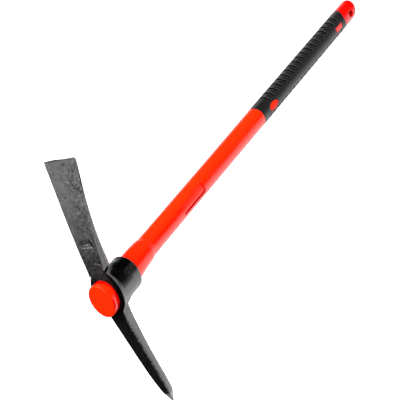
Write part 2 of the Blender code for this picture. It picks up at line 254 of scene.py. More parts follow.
# ------------------------------------------------------------------ material tools
class Nodes:
    """A material's node tree with short calls for the nodes that are used here."""

    def __init__(self, name):
        self.mat = bpy.data.materials.new(name)
        self.mat.use_nodes = True
        self.tree = self.mat.node_tree
        self.shader = self.tree.nodes["Principled BSDF"]
        self.coord = self.tree.nodes.new("ShaderNodeTexCoord").outputs["Object"]

    def put(self, socket, value):
        if isinstance(value, bpy.types.NodeSocket):
            self.tree.links.new(value, socket)
        elif isinstance(value, (tuple, list)) and socket.type == "RGBA" and len(value) == 3:
            socket.default_value = (*value, 1.0)
        else:
            socket.default_value = value

    def noise(self, scale, detail=3.0, rough=0.55, lacunarity=2.0, distortion=0.0, coord=None, out=0):
        n = self.tree.nodes.new("ShaderNodeTexNoise")
        n.inputs["Scale"].default_value = scale
        n.inputs["Detail"].default_value = detail
        n.inputs["Roughness"].default_value = rough
        n.inputs["Lacunarity"].default_value = lacunarity
        n.inputs["Distortion"].default_value = distortion
        self.put(n.inputs["Vector"], coord or self.coord)
        return n.outputs[out]

    def stretch(self, scale, rotation=(0, 0, 0)):
        n = self.tree.nodes.new("ShaderNodeMapping")
        n.inputs["Scale"].default_value = scale
        n.inputs["Rotation"].default_value = rotation
        self.put(n.inputs["Vector"], self.coord)
        return n.outputs[0]

    def math(self, kind, a, b=0.0, c=0.0, clamp=False):
        n = self.tree.nodes.new("ShaderNodeMath")
        n.operation = kind
        n.use_clamp = clamp
        for s, v in zip(n.inputs, (a, b, c)):
            self.put(s, v)
        return n.outputs[0]

    def remap(self, v, a, b, lo=0.0, hi=1.0, smooth=False):
        n = self.tree.nodes.new("ShaderNodeMapRange")
        n.interpolation_type = "SMOOTHSTEP" if smooth else "LINEAR"
        n.clamp = True
        self.put(n.inputs["Value"], v)
        for key, value in (("From Min", a), ("From Max", b), ("To Min", lo), ("To Max", hi)):
            self.put(n.inputs[key], value)
        return n.outputs["Result"]

    def attribute(self, name):
        n = self.tree.nodes.new("ShaderNodeAttribute")
        n.attribute_name = name
        return n.outputs["Fac"]

    def mix(self, fac, a, b, kind="MIX"):
        n = self.tree.nodes.new("ShaderNodeMix")
        n.data_type = "RGBA"
        n.blend_type = kind
        n.clamp_factor = True
        self.put(n.inputs[0], fac)
        self.put(n.inputs[6], a)
        self.put(n.inputs[7], b)
        return n.outputs[2]

    def voronoi(self, scale, feature="F1", coord=None, randomness=1.0):
        n = self.tree.nodes.new("ShaderNodeTexVoronoi")
        n.feature = feature
        n.inputs["Scale"].default_value = scale
        n.inputs["Randomness"].default_value = randomness
        self.put(n.inputs["Vector"], coord or self.coord)
        return n.outputs["Distance"]

    def bump(self, height, strength, distance, normal=None):
        n = self.tree.nodes.new("ShaderNodeBump")
        n.inputs["Strength"].default_value = strength
        n.inputs["Distance"].default_value = distance
        self.put(n.inputs["Height"], height)
        if normal is not None:
            self.put(n.inputs["Normal"], normal)
        return n.outputs[0]

    def finish(self, **values):
        for key, value in values.items():
            self.put(self.shader.inputs[key.replace("_", " ")], value)
        return self.mat


# ------------------------------------------------------------------ materials
def glossy_plastic(name, deep, light, rough, wear_and_painted_light):
    """Injection-moulded polypropylene: slow colour drift where the melt flowed, fine orange peel,
    hairline rubs along the handle and dulled patches, and painted shade from two attributes."""
    m = Nodes(name)
    melt_flow_and_shade_band = m.noise(9.0, 3.0, 0.6, distortion=0.6, coord=m.stretch((0.35, 1.0, 1.0)))
    fine = m.noise(420.0, 2.0, 0.5)
    colour = m.mix(m.remap(melt_flow_and_shade_band, 0.35, 0.68), deep, light)
    speck = m.remap(m.noise(1500.0, 1.0, 0.5), 0.66, 0.78)
    colour = m.mix(m.math("MULTIPLY", speck, 0.18), colour, wear_and_painted_light)
    # Painted shade: a darker, less glossy red where the deep attribute is set, and a near-black red where the shade
    # attribute is set.
    painted_shade_zone = m.attribute("deep")
    colour = m.mix(painted_shade_zone, colour, (deep[0] * 0.72, 0.0010, 0.0008))
    colour = m.mix(m.attribute("shade"), colour, (0.030, 0.0004, 0.0003))
    rub = m.noise(900.0, 2.0, 0.6, coord=m.stretch((0.03, 1.0, 1.0)))
    rub = m.remap(rub, 0.62, 0.72)
    patch = m.remap(m.noise(22.0, 3.0, 0.6), 0.45, 0.75)
    roughness = m.math("ADD", rough, m.math("MULTIPLY", m.math("MULTIPLY", rub, patch), 0.16))
    roughness = m.math("ADD", roughness, m.math("MULTIPLY", patch, 0.05))
    roughness = m.math("ADD", roughness, m.math("MULTIPLY", m.attribute("spark"), 0.30))
    peel = m.bump(fine, 0.12, 0.00008)
    normal = m.bump(m.noise(2600.0, 2.0, 0.5), 0.06, 0.00003, peel)
    eroded = m.math("MULTIPLY", m.attribute("spark"), m.noise(2200.0, 3.0, 0.6))
    normal = m.bump(eroded, 0.5, 0.00012, normal)
    return m.finish(Base_Color=colour, Roughness=roughness, Normal=normal,
                    IOR=m.math("SUBTRACT", m.math("SUBTRACT", 1.5, m.math("MULTIPLY", painted_shade_zone, 0.48)),
                               m.math("MULTIPLY", m.attribute("matt"), 0.35)))


def forged_steel(name):
    """Black lacquer over forged steel. The adze's outer face is scale-grey and
    rough, edges are rubbed, and the point is ground bright."""
    m = Nodes(name)
    face = m.attribute("scale_face")
    ground = m.attribute("ground")
    edge = m.attribute("edge")
    side = m.attribute("side_face")
    stamp = m.attribute("stamp")
    highlight_line = m.attribute("highlight_line")

    cloud = m.noise(45.0, 5.0, 0.62, distortion=0.8)
    grain = m.noise(330.0, 4.0, 0.65, distortion=0.4)
    mottle = m.noise(240.0, 3.0, 0.6, distortion=0.7)
    streak = m.noise(160.0, 4.0, 0.6, distortion=1.2, coord=m.stretch((1.0, 0.45, 1.0), (0.6, 0.0, 0.0)))
    crack = m.voronoi(150.0, "DISTANCE_TO_EDGE", m.noise(60.0, 2.0, 0.5, out=1))

    black = m.mix(m.remap(cloud, 0.4, 0.7), (0.0005, 0.0005, 0.0006), (0.0018, 0.0018, 0.0020))
    fleck = m.math("MULTIPLY", m.attribute("speckled"), m.remap(m.noise(560.0, 3.0, 0.65), 0.46, 0.58))
    black = m.mix(fleck, black, (0.034, 0.034, 0.033))
    black = m.mix(m.attribute("pick_front"), black,
                  m.mix(m.remap(grain, 0.4, 0.65), (0.0022, 0.0022, 0.0023), (0.0105, 0.0105, 0.0108)))
    pits = m.attribute("pitted")
    blot = m.noise(210.0, 5.0, 0.72, distortion=1.4)
    blot = m.math("MULTIPLY", pits, m.remap(blot, 0.48, 0.38))
    tone = m.math("MULTIPLY", m.remap(cloud, 0.3, 0.7, 0.84, 1.14), m.remap(grain, 0.32, 0.68, 0.70, 1.30))
    tone = m.math("MULTIPLY", tone, m.remap(streak, 0.3, 0.72, 0.80, 1.18))
    spread = m.math("MULTIPLY", m.math("ADD", m.math("MULTIPLY", pits, 0.7), 0.3), 0.55)
    tone = m.math("MULTIPLY", tone, m.math("ADD", 1.0, m.math("MULTIPLY", spread, m.remap(mottle, 0.34, 0.66, -1.0, 1.0))))
    tone = m.math("MULTIPLY", tone, m.math("SUBTRACT", 1.0, m.math("MULTIPLY", blot, 0.70)))
    # Painted shade darkens the adze face towards the eye, and a painted highlight brightens an arc by the flange lip.
    tone = m.math("MULTIPLY", tone, m.attribute("painted_light_fade"))
    # Dark lines: cracks in the scale, and painted shade along the flange lip.
    tone = m.math("MULTIPLY", tone, m.math("SUBTRACT", 1.0, m.math("MULTIPLY", m.attribute("marks_and_painted_shade"), 0.95)))
    grey = m.mix(tone, (0.0, 0.0, 0.0), (0.066, 0.066, 0.0665))
    grey_node = grey.node
    grey_node.clamp_factor = False
    pock = m.noise(480.0, 2.0, 0.5, distortion=0.5)
    wear_and_painted_light = m.math("MULTIPLY", stamp, m.remap(pock, 0.46, 0.54, 1.0, 0.10))
    grey = m.mix(wear_and_painted_light, grey, (0.0045, 0.0045, 0.005))
    bright = m.math("MULTIPLY", m.attribute("specked"), m.remap(pock, 0.47, 0.58, 0.0, 0.60))
    grey = m.mix(bright, grey, (0.17, 0.17, 0.17))
    # Painted highlight: a light grey line beside the stamp.
    grey = m.mix(m.math("MULTIPLY", highlight_line, m.remap(grain, 0.35, 0.6, 0.35, 0.65)), grey, (0.17, 0.17, 0.17))
    colour = m.mix(face, black, grey)
    colour = m.mix(m.math("MULTIPLY", side, 0.35), colour, (0.05, 0.05, 0.051))
    # Painted highlight: lighter grey on the chamfer along the adze face and on a patch of the collar.
    painted_highlight_grey = m.mix(m.remap(streak, 0.3, 0.7), (0.085, 0.085, 0.086), (0.125, 0.125, 0.126))
    colour = m.mix(m.attribute("bevel"), colour, painted_highlight_grey)
    rubbed = m.math("MULTIPLY", edge, m.remap(grain, 0.42, 0.62))
    colour = m.mix(m.math("MULTIPLY", rubbed, 0.5), colour, (0.20, 0.20, 0.20))
    steel = m.mix(m.remap(streak, 0.3, 0.7), (0.25, 0.25, 0.255), (0.40, 0.40, 0.41))
    colour = m.mix(ground, colour, steel)

    # Painted shade: black with almost no gloss in the groove, in the notch at the adze neck and in a band across the
    # collar.
    painted_shade_dark = m.attribute("painted_shade_dark")
    colour = m.mix(painted_shade_dark, colour, (0.001, 0.001, 0.001))
    rough = m.math("ADD", 0.11, m.math("MULTIPLY", m.remap(cloud, 0.4, 0.75), 0.05))
    dull = m.attribute("dull")
    rough = m.math("ADD", rough, m.math("MULTIPLY", dull, 0.36))
    rough = m.math("ADD", rough, m.math("MULTIPLY", face, 0.34))
    rough = m.math("ADD", rough, m.math("MULTIPLY", side, 0.10))
    rough = m.math("ADD", rough, m.math("MULTIPLY", ground, 0.14))
    rough = m.math("ADD", rough, m.math("MULTIPLY", m.remap(grain, 0.4, 0.7), 0.06), clamp=True)

    small = m.bump(grain, 0.25, 0.00025)
    dents = m.math("MULTIPLY", m.math("ADD", face, 0.25, clamp=True), m.remap(streak, 0.2, 0.8))
    normal = m.bump(dents, 0.45, 0.0009, small)
    flaw = m.math("MULTIPLY", face, m.remap(crack, 0.0, 0.05, 0.0, 1.0))
    normal = m.bump(flaw, 0.10, 0.0003, normal)
    return m.finish(Base_Color=colour, Roughness=rough, Normal=normal,
                    IOR=m.math("SUBTRACT", m.math("ADD", 1.92, m.math("MULTIPLY", side, 0.15)),
                               m.math("ADD", m.math("MULTIPLY", m.math("MAXIMUM", face, dull), 0.42),
                                      m.math("MULTIPLY", painted_shade_dark, 0.75))),
                    Metallic=m.math("MULTIPLY", ground, 0.45))


def grip_rubber(name):
    """Matt thermoplastic rubber with a fine moulded grain, rubbed rib edges, painted light on the ribs of the adze
    side and painted shade in the finger slots.
    """
    m = Nodes(name)
    cloud = m.noise(38.0, 4.0, 0.6)
    grain = m.noise(1400.0, 3.0, 0.6)
    edge = m.attribute("edge")
    colour = m.mix(m.remap(cloud, 0.35, 0.7), (0.0022, 0.0023, 0.0024), (0.0042, 0.0043, 0.0045))
    # The edge attribute lightens the rubbed slot rims and, as painted light, the ribs along the adze side.
    colour = m.mix(m.math("MULTIPLY", edge, m.remap(grain, 0.35, 0.65, 0.2, 0.7)), colour, (0.075, 0.076, 0.078))
    dust = m.remap(m.noise(2100.0, 1.0, 0.5), 0.70, 0.80)
    colour = m.mix(m.math("MULTIPLY", dust, 0.25), colour, (0.12, 0.12, 0.12))
    rough = m.math("ADD", 0.40, m.math("MULTIPLY", m.remap(cloud, 0.3, 0.75), 0.10))
    normal = m.bump(grain, 0.22, 0.00012)
    # Painted shade: the floors of the finger slots are painted near black with little gloss.
    slot = m.attribute("slot")
    colour = m.mix(m.math("MULTIPLY", slot, 0.6), colour, (0.0009, 0.0009, 0.0009))
    return m.finish(Base_Color=colour, Roughness=rough, Normal=normal,
                    IOR=m.math("SUBTRACT", 1.64, m.math("MULTIPLY", slot, 0.50)))


def fibre_core(name):
    m = Nodes(name)
    strand = m.noise(900.0, 3.0, 0.6, coord=m.stretch((0.02, 1.0, 1.0)))
    colour = m.mix(m.remap(strand, 0.35, 0.65), (0.50, 0.43, 0.26), (0.72, 0.66, 0.48))
    normal = m.bump(strand, 0.3, 0.0002)
    return m.finish(Base_Color=colour, Roughness=m.remap(strand, 0.3, 0.7, 0.35, 0.6), Normal=normal)


def epoxy(name):
    m = Nodes(name)
    cloud = m.noise(120.0, 4.0, 0.6)
    colour = m.mix(m.remap(cloud, 0.35, 0.7), (0.035, 0.036, 0.037), (0.07, 0.07, 0.071))
    normal = m.bump(m.noise(700.0, 3.0, 0.6), 0.3, 0.0002)
    return m.finish(Base_Color=colour, Roughness=m.remap(cloud, 0.3, 0.7, 0.3, 0.55), Normal=normal)


RED = glossy_plastic("red_polypropylene", (0.88, 0.0165, 0.0012), (0.92, 0.0205, 0.0016), 0.14, (0.6, 0.04, 0.02))
CAP_RED = glossy_plastic("deep_red_polypropylene", (0.64, 0.0010, 0.0004), (0.69, 0.0017, 0.0006), 0.14,
                         (0.6, 0.02, 0.01))
STEEL = forged_steel("black_forged_steel")
RUBBER = grip_rubber("black_rubber")
FIBRE = fibre_core("glass_fibre_core")
EPOXY = epoxy("grey_epoxy")

# ------------------------------------------------------------------ the head
ADZE_REACH, PICK_REACH = 198.6, 204.0
ADZE_FACE = [(0, 15.5), (24, 15.9), (34, 18.9), (42, 20.2), (60, 22.0), (80, 24.9),
             (100, 28.5), (120, 32.7), (140, 37.4), (160, 42.6), (180, 47.9), (198, 52.2)]
ADZE_WIDTH = [(0, 32.0), (30, 32.8), (42, 33.8), (60, 35.2), (80, 37.1), (100, 39.4),
              (120, 42.2), (140, 45.6), (160, 49.4), (180, 53.7), (195, 57.0), (198, 57.0)]
ADZE_THICK = [(0, 13.6), (30, 13.2), (42, 12.5), (60, 11.3), (80, 9.7), (100, 7.9),
              (120, 6.4), (140, 5.1), (160, 4.0), (180, 2.8), (195, 1.9), (198, 1.4)]
PICK_FACE = [(0, 15.5), (24, 15.4), (34, 15.7), (42, 16.3), (60, 18.2), (80, 20.4),
             (100, 22.7), (120, 25.1), (140, 27.6), (160, 30.4), (180, 33.5), (188, 35.1),
             (204, 40.2)]
PICK_WIDTH = [(0, 29.0), (30, 26.4), (42, 24.9), (60, 23.2), (80, 22.0), (100, 21.1),
              (120, 20.2), (140, 18.9), (160, 16.8), (180, 12.9), (188, 10.4), (204, 2.2)]
PICK_THICK = [(0, 20.0), (30, 19.0), (42, 18.1), (60, 17.0), (80, 15.7), (100, 14.2),
              (120, 13.2), (140, 12.7), (160, 12.6), (180, 12.2), (188, 11.2), (204, 2.2)]
CORE = np.array([
    (15.5, 27.0, 20.4, -0.3), (18.0, 27.6, 22.3, -0.4), (20.5, 27.8, 23.3, -0.5),
    (24.0, 27.8, 23.6, -0.6), (36.0, 27.6, 23.5, -0.8), (45.0, 27.3, 23.5, -1.0),
    (58.0, 27.0, 23.5, -1.1), (66.0, 26.95, 23.5, -1.1), (73.2, 26.9, 23.5, -1.1)])
FLANGE = np.array([
    (15.5, 34.4, 20.7, 0.0), (16.3, 35.3, 21.5, 0.0), (18.0, 36.1, 22.5, 0.0),
    (20.5, 36.6, 23.5, 0.0), (21.2, 36.4, 23.5, 0.0), (22.2, 35.2, 23.4, 0.0),
    (24.0, 32.6, 23.2, -0.2), (26.0, 30.2, 22.9, -0.3), (28.0, 28.2, 22.5, -0.4),
    (31.0, 26.4, 22.0, -0.5), (36.0, 24.6, 21.0, -0.7)])
FLARE = np.array([
    (22.0, 38.1, 16.5, -0.1), (28.0, 37.2, 16.5, -0.8), (32.0, 36.0, 16.4, -1.1),
    (36.0, 34.6, 16.3, -1.3), (40.0, 33.4, 16.2, -1.5), (45.0, 32.0, 16.0, -1.6),
    (51.0, 30.4, 15.7, -1.6), (58.0, 28.6, 15.2, -1.5), (66.0, 25.7, 14.5, -1.3),
    (72.0, 23.0, 14.0, -1.1)])
BEVEL = ((24, 30, 36, 42, 50, 60, 70, 85, 105), (1.3, 1.4, 1.35, 1.15, 0.95, 0.8, 0.55, 0.3, 0.0))
EYE_HOLE = np.array([(15.5, 26.4, 19.6, -2.0), (72.2, 22.0, 19.45, -1.1), (75.0, 22.0, 19.45, -1.1)])

adze_face, adze_width, adze_thick = map(curve_of, (ADZE_FACE, ADZE_WIDTH, ADZE_THICK))
pick_face, pick_width, pick_thick = map(curve_of, (PICK_FACE, PICK_WIDTH, PICK_THICK))


def blade(x, u, z, face, width, thick, radius, reach, crown, neck=0.0, start=8.0):
    f = face(u)
    w, t = width(u) / 2, thick(u)
    across = np.clip((x - f) / t, 0, 1)
    w = w - crown * (2 * across - 1) ** 2 * step(t, 3.0, 9.0)
    root = 31.0 + 8.5 * across
    w = w - neck * (1 - step(u, root - 4.5, root))
    w = w - 0.5 * np.where(z > 0, step(u, 186.0, 199.0), 0.0) * (reach < 201)
    bevel = np.where(z > 0, np.interp(u, *BEVEL), 0.0) * (reach < 201)
    r = np.minimum(radius, 0.33 * np.minimum(t, 2 * w))
    qx = np.abs(x - f - t / 2) - (t / 2 - r)
    qz = np.abs(z) - (w - r)
    d = np.hypot(np.maximum(qx, 0), np.maximum(qz, 0)) + np.minimum(np.maximum(qx, qz), 0) - r
    bevel = np.where(bevel > 0.01, (4 * (z - w + 3 * bevel) - 3 * (x - f)) / 5, -5.0)
    d = round_max(d, bevel, 0.4)
    end = u - reach - 0.9 * step(-z, -6.0, 8.0) * (1 - 0.9 * step(-z, 12.0, 28.0))
    corner = round_max(np.abs(z) - w, end, np.where(z > 0, 2.6, 0.5) * (reach < 201))
    return np.maximum(np.maximum(round_max(d, end, 0.3), corner), start - u)


def oval_column(x, y, z, table, full=0.0):
    """Column with an oval section; `full` fills out its shoulders on the pick side."""
    ry = np.interp(x, table[:, 0], table[:, 1])
    rz = np.interp(x, table[:, 0], table[:, 2])
    cy = np.interp(x, table[:, 0], table[:, 3])
    n = 2.0 + full * step(cy - y, 0.0, 12.0)
    p, q = np.abs(y - cy) / ry + 1e-9, np.abs(z) / rz + 1e-9
    s = (p**n + q**n) ** (1 / n) + 1e-6
    slope = s ** (1 - n) * np.hypot(p ** (n - 1) / ry, q ** (n - 1) / rz) + 1e-6
    return (s - 1) / slope


def to_segment(x, y, z, a, b):
    a, b = np.array(a), np.array(b)
    e = b - a
    t = np.clip(((x - a[0]) * e[0] + (y - a[1]) * e[1] + (z - a[2]) * e[2]) / (e @ e), 0, 1)
    return np.sqrt((x - a[0] - t * e[0])**2 + (y - a[1] - t * e[1])**2 + (z - a[2] - t * e[2])**2)


GROOVE = (26.0, 38.6, 16.8), (20.2, 34.6, 13.6)


def head_field(x, y, z):
    adze = blade(x, y, z, adze_face, adze_width, adze_thick, 0.9, ADZE_REACH, 0.25, neck=5.5)
    pick = blade(x, -y, z, pick_face, pick_width, pick_thick, 1.3, PICK_REACH, 0.35)
    flange = round_max(oval_column(x, y, z, FLANGE, 0.3), np.abs(x - 25.5) - 10.0, 0.5)
    flare = np.maximum(oval_column(x, y, z, FLARE, 0.3), np.abs(x - 46.0) - 25.0)
    collar = round_max(oval_column(x, y, z, CORE, 0.3), np.abs(x - 44.35) - 28.85, 0.5)
    body = blend_min(collar, flange, 1.6)
    body = blend_min(body, flare, 2.5)
    k = 1.2 + 2.2 * step(x, 21.0, 28.0) * (1 - 0.75 * step(y, 0.0, 20.0))
    body = blend_min(body, np.minimum(adze, pick), k)
    body = np.where(y > 4, round_max(body, 0.95 * (adze_face(y) - x), 0.8), body)
    body = round_max(body, -oval_column(x, y, z, EYE_HOLE), 0.5)
    body = round_max(body, 1.15 - to_segment(x, y, np.abs(z), *GROOVE), 0.4)
    uneven = 0.10 * waves(x, y, z, 26.0, 3) + 0.05 * waves(x, y, z, 11.0, 5)
    calm = 1 - 0.7 * step(x, 30.0, 42.0) * (1 - step(np.abs(y), 34.0, 42.0))
    return body + uneven * calm * step(np.abs(y), 5.0, 30.0) * (1 - 0.6 * step(np.abs(y), 150.0, 190.0))


def build_head():
    ys = np.concatenate([np.arange(-205.2, -188.0, 0.55), np.arange(-188.0, -44.0, 1.1),
                         np.arange(-44.0, 44.0, 0.75), np.arange(44.0, 188.0, 1.1),
                         np.arange(188.0, 201.6, 0.5)])
    xs = np.arange(14.2, 75.0, 0.75)
    zs = np.arange(-28.5, 28.6, 0.75)
    pts, faces = skin(head_field, (xs, ys, zs))
    obj = make_object("forged_head", pts, faces, STEEL, smooth_angle=None)
    p, n = local_points(obj), local_normals(obj)
    x, y, z = p.T
    u = np.abs(y)
    front = step(-n[:, 0], 0.35, 0.75)
    inner = 1 - step(x, 21.0, 25.0) * (1 - step(y, 33.0, 38.0))
    paint(obj, "scale_face", front * step(y, 6.0, 24.0) * inner)
    outer_side = step(np.abs(n[:, 2]), 0.35, 0.6) * step(y, 135.0, 160.0)
    dull = step(-n[:, 0], 0.45, 0.8) * (1 - step(x, 19.5, 22.0)) * (1 - step(u, 34.0, 44.0))
    paint(obj, "dull", np.maximum(dull, outer_side))
    paint(obj, "pick_front", front * step(-y, 24.0, 40.0))
    around = np.degrees(np.arctan2(-y, z))
    paint(obj, "speckled", step(x, 40.0, 56.0) * step(around, -46.0, -36.0) * (1 - step(around, -8.0, -4.0)))
    # Painted highlight along an arc on the adze face beside the flange lip, and painted shade that darkens the face's
    # grey towards the eye.
    arc = np.full(len(x), 9.0)
    for (y0, z0), (y1, z1) in (((47.8, 2.0), (45.7, 9.2)), ((45.7, 9.2), (41.6, 11.4)), ((41.6, 11.4), (35.5, 12.7))):
        arc = np.minimum(arc, to_segment(x * 0, y, z, (0.0, y0, z0), (0.0, y1, z1)))
    lit = 1 + 2.2 * (1 - step(arc, 0.5, 1.5))
    paint(obj, "painted_light_fade", lit * np.interp(y, (8, 20, 30, 40, 50, 60, 75, 90, 110, 135, 160, 200),
                                 (0.03, 0.07, 0.13, 0.26, 0.36, 0.46, 0.60, 0.68, 0.78, 0.98, 1.05, 1.0)))
    paint(obj, "pitted", np.maximum(step(z + 0.10 * (110 - y), -14.0, 14.0), 1 - step(y, 60.0, 105.0)))
    # Dark lines on the front faces: cracks in the scale; the last three, along the flange lip, are painted shade.
    marks = [((169.8, 6.8), (163.0, 9.4), 0.7, 0.78), ((163.0, 9.4), (156.5, 15.0), 0.9, 0.70),
             ((134.8, 3.8), (127.5, 10.2), 0.6, 0.55), ((84.6, 6.9), (79.5, 9.0), 0.9, 0.95),
             ((79.5, 9.0), (74.4, 10.5), 1.1, 1.0), ((82.4, 15.9), (79.6, 16.7), 0.5, 0.65),
             ((192.6, 2.0), (190.8, 5.6), 1.3, 0.70), ((186.0, 9.5), (182.0, 11.5), 0.7, 0.47),
             ((115.0, -6.0), (109.0, -1.5), 0.5, 0.40), ((99.0, 12.0), (92.0, 15.0), 0.6, 0.50),
             ((150.0, -12.0), (146.5, -9.0), 0.5, 0.32), ((103.9, -4.5), (103.2, -2.9), 0.9, 0.60),
             ((57.2, 9.4), (56.6, 13.8), 0.9, 0.60), ((49.4, 8.6), (49.8, 13.2), 0.8, 0.55),
             ((44.0, 3.5), (41.3, 8.7), 0.7, 0.60), ((41.3, 8.7), (36.8, 10.4), 0.8, 0.80),
             ((36.8, 10.4), (28.3, 14.6), 0.9, 0.90)]
    marks_and_painted_shade = np.zeros(len(x))
    for (y0, z0), (y1, z1), half, depth in marks:
        t = np.clip(((y - y0) * (y1 - y0) + (z - z0) * (z1 - z0)) / ((y1 - y0) ** 2 + (z1 - z0) ** 2), 0, 1)
        away = np.hypot(y - y0 - t * (y1 - y0), z - z0 - t * (z1 - z0)) + 0.25 * waves(x, y, z, 4.0, 21)
        marks_and_painted_shade = np.maximum(marks_and_painted_shade, depth * (1 - step(away, half * 0.6, half + 0.8)))
    rim = step(y, 196.4, 197.6) * (1 - step(z, 2.0, 10.0)) * (0.75 + 0.25 * waves(x, y, z, 9.0, 22))
    marks_and_painted_shade = np.maximum(marks_and_painted_shade, 0.6 * rim)
    paint(obj, "marks_and_painted_shade", np.clip(marks_and_painted_shade, 0, 1) * front)
    across = np.clip((x - adze_face(u)) / adze_thick(u), 0, 1)
    root = 31.0 + 8.5 * across
    # Painted shade in the groove, in the notch where the adze neck meets the collar, and in a band that dims the
    # collar's reflection.
    groove = 1 - step(to_segment(x, y, np.abs(z), *GROOVE), 1.3, 1.9)
    neck_shade = (step(y, root - 5.5, root - 4.0) * (1 - step(y, root - 1.5, root - 0.2))
            * step(np.abs(z), 8.5, 10.0) * step(x, 21.5, 24.0))
    veil = (0.45 * step(around, -18.0, -9.0) * (1 - step(around, -1.0, 9.0)) * step(x, 26.0, 30.0)
            * (1 - step(x, 52.0, 60.0)))
    paint(obj, "painted_shade_dark", np.maximum(np.maximum(groove, neck_shade), veil))
    # Painted highlight on the chamfer along the adze face and on a patch of the collar.
    bevel = step(n[:, 2], 0.45, 0.65) * step(-n[:, 0], 0.06, 0.28) * step(y, 33.0, 37.0) * (1 - step(y, 104.0, 112.0))
    paint(obj, "bevel", np.maximum(0.95 * bevel, step(-around, 68.0, 95.0) * step(x, 48.0, 64.0) * (1 - step(-around, 125.0, 150.0))))
    wobble = 0.8 * waves(x, y, z, 7.0, 9)
    paint(obj, "ground", step(-y + wobble, 187.0, 188.6))
    paint(obj, "side_face", step(np.abs(n[:, 2]), 0.6, 0.9) * step(u, 34.0, 44.0) * (1 - outer_side))
    w = np.where(y > 0, adze_width(u), pick_width(u)) / 2
    f = np.where(y > 0, adze_face(u), pick_face(u))
    t = np.where(y > 0, adze_thick(u), pick_thick(u))
    near_side = step(np.abs(z), w - 2.2, w - 0.4)
    near_face = 1 - step(np.minimum(np.abs(x - f), np.abs(x - f - t)), 0.5, 2.0)
    edge = near_side * near_face * step(u, 40.0, 50.0)
    edge *= 1 - 0.9 * outer_side
    edge = np.maximum(edge, 0.5 * step(y, 189.0, 194.5) * step(z, 6.0, 20.0))
    paint(obj, "edge", edge)
    blur = 0.12 * waves(x, y, z, 8.0, 23)
    ragged = np.maximum(np.abs(y - 81.8) / 3.4, np.abs(z + 2.2) / 7.8) + blur
    paint(obj, "stamp", front * (1 - step(ragged, 0.75, 1.05)))
    ragged = np.maximum(np.abs(y - 76.9) / 1.5, np.abs(z + 0.6) / 7.4) + blur
    paint(obj, "specked", front * (1 - step(ragged, 0.75, 1.10)))
    # Painted highlight line beside the stamp.
    paint(obj, "highlight_line", front * (1 - step(np.abs(y - 72.7 + 0.04 * z), 0.5, 1.6)) * (1 - step(np.abs(z + 0.3), 8.6, 10.4)))
    return obj


head = build_head()
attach(head, "root")
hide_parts("pick_head")

# ------------------------------------------------------------------ the plug
PLUG_Y, PLUG_Z, PLUG_SHIFT, PLUG_LEN = 26.4, 19.55, -2.0, 15.3
ANGLES = np.linspace(0, 2 * math.pi, 160, endpoint=False)


def oval_ring(x, ry, rz, cy, angles=ANGLES):
    return np.stack([np.full(len(angles), float(x)), cy + ry * np.cos(angles), rz * np.sin(angles)], 1)


def build_plug():
    rings = []
    for k in range(1, 13):                      # the face, very slightly crowned
        q = k / 12
        rings.append(oval_ring(0.18 * q**4, (PLUG_Y - 2.3) * q, (PLUG_Z - 2.3) * q, PLUG_SHIFT))
    for k in range(1, 11):                      # the rounded rim
        a = math.pi / 2 * k / 10
        inset = 2.3 * (1 - math.sin(a)) ** 1.0
        rings.append(oval_ring(0.18 + 2.3 * (1 - math.cos(a)), PLUG_Y - inset, PLUG_Z - inset, PLUG_SHIFT))
    for x in (3.2, 4.5, 5.5, 6.5, 7.5, 8.5, 9.5, 10.5, 11.5, 12.5, 13.5, 14.2, 14.9):
        rings.append(oval_ring(x, PLUG_Y, PLUG_Z, PLUG_SHIFT))
    rings.append(oval_ring(PLUG_LEN, PLUG_Y - 0.3, PLUG_Z - 0.3, PLUG_SHIFT))
    pts, faces = rings_mesh(rings)
    obj = make_object("eye_plug", pts, faces, RED, smooth_angle=50.0)
    x, y, z = local_points(obj).T
    # Painted shade: the wall turns darker red with less gloss towards the flange, and a thin dark crescent is painted
    # inside the rim on the pick side.
    turn = np.degrees(np.arctan2(-(y - PLUG_SHIFT), z))      # 0 on top, + towards the pick
    turns = (-180.0, -100.0, -80.0, -60.0, -45.0, -20.0, -7.0, 10.0, 60.0, 120.0, 180.0)
    base = np.interp(turn, turns, (5.0, 5.0, 5.2, 8.8, 10.8, 10.8, 7.4, 6.9, 6.1, 5.0, 5.0))
    width = np.interp(turn, turns, (5.0, 4.0, 4.0, 4.0, 3.0, 3.0, 4.5, 3.0, 3.0, 4.0, 5.0))
    crescent = 0.98 * step(turn, -14.0, -2.0) * (1 - step(turn, 34.0, 50.0)) * step(x, 0.5, 1.2) * (1 - step(x, 3.4, 5.2))
    paint(obj, "deep", np.maximum(step(x, base, base + width), crescent))
    # Painted shade where the flange darkens the wall, strongest on the adze side.
    shade_right = step(turn, 20.0, 50.0) * np.interp(x, (7.5, 9.0, 12.0, 14.5), (0.0, 0.40, 0.72, 0.88))
    shade_left = step(-turn, 80.0, 100.0) * np.interp(x, (1.5, 3.0, 6.0, 9.0, 12.0, 14.5), (0.0, 0.62, 0.76, 0.84, 0.96, 1.0))
    shade_end = step(-turn, 55.0, 82.0) * np.interp(x, (10.5, 12.0, 14.5), (0.0, 0.40, 0.65))
    paint(obj, "shade", np.maximum(np.maximum(shade_right, shade_left), shade_end))
    paint(obj, "spark", np.zeros(len(x)))
    return obj


plug = build_plug()
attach(plug, "root")
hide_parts("end_plug")

